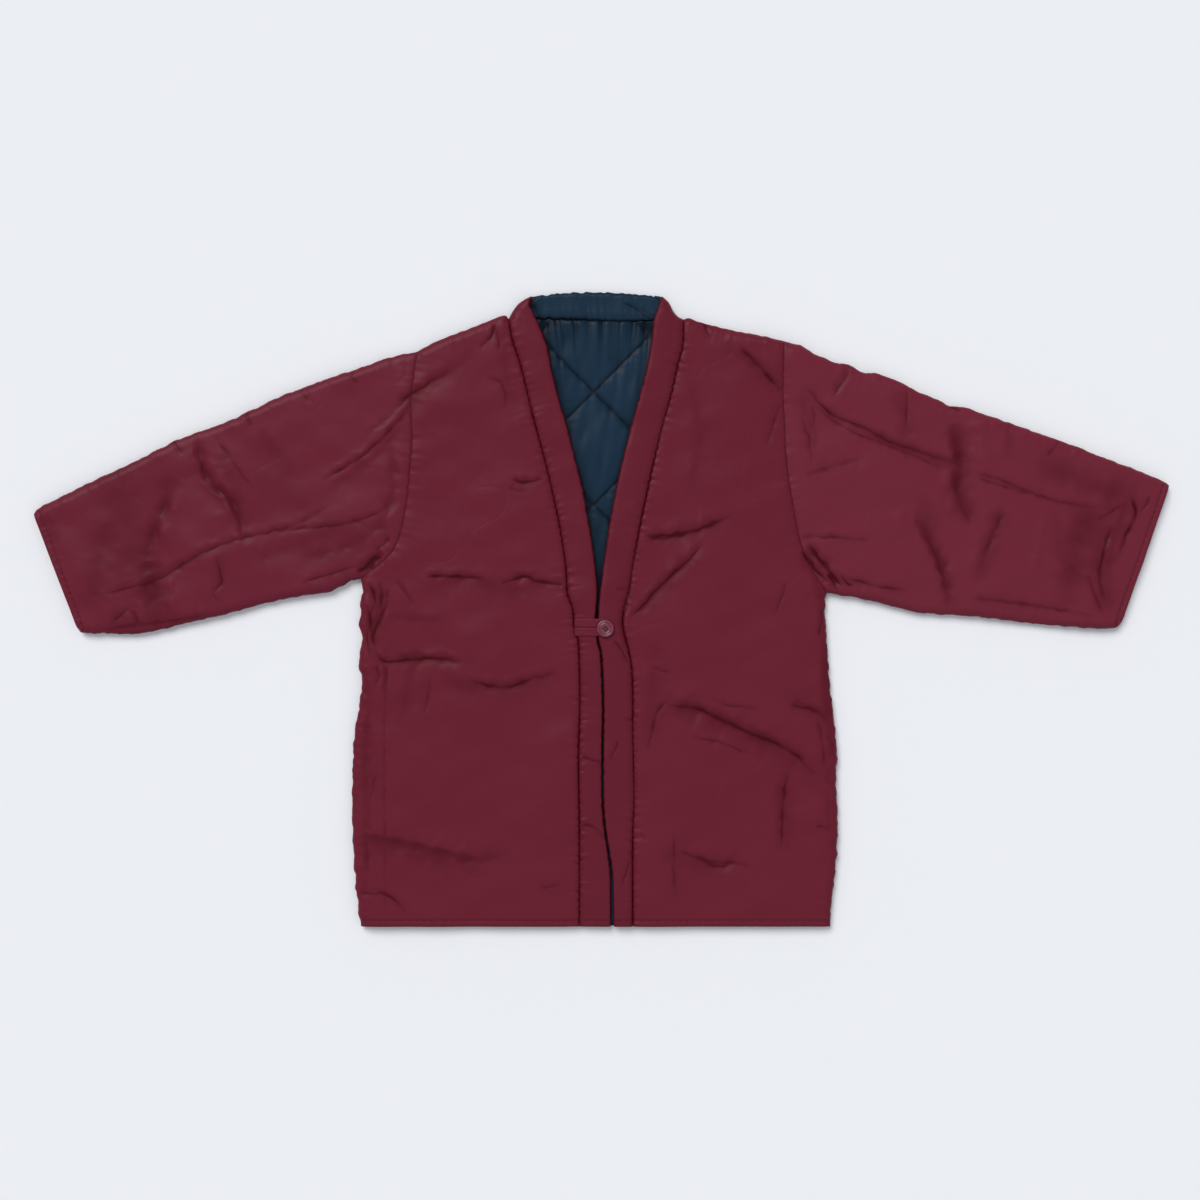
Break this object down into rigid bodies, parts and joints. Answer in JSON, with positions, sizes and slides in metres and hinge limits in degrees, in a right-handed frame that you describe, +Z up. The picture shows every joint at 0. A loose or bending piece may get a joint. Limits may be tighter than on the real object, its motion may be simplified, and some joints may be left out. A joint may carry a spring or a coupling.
{
  "type": "hanten jacket",
  "caption": "Padded hip-length hanten jacket with wide sleeves, a quilted back lining and a button loop, laid flat with its front up.",
  "frame": {"origin": "on the surface that the jacket lies on, below the middle of its bounding box", "axes": "+X towards the wearer's left sleeve, +Y from hem to collar, +Z up from the surface, out of the jacket's front"},
  "size_m": [1.4478, 0.81, 0.0225],
  "materials": {
    "maroon_cloth": "closely woven polyester with a soft sheen",
    "navy_lining": "quilted polyester lining with a soft sheen",
    "button_plastic": "polished",
    "maroon_thread": "twisted sewing thread"
  },
  "bodies": {
    "root": {"back": "maroon_cloth", "back_lining": "navy_lining", "front_right": "maroon_cloth", "front_left": "maroon_cloth", "sleeve_right": "maroon_cloth", "sleeve_left": "maroon_cloth", "collar_band_right": "maroon_cloth", "collar_band_left": "maroon_cloth", "collar_back": "maroon_cloth", "collar_back_facing": "navy_lining", "button_loop": "maroon_cloth", "button": "button_plastic", "button_stem": "maroon_thread", "button_stitches": "maroon_thread"}
  },
  "joints": []
}
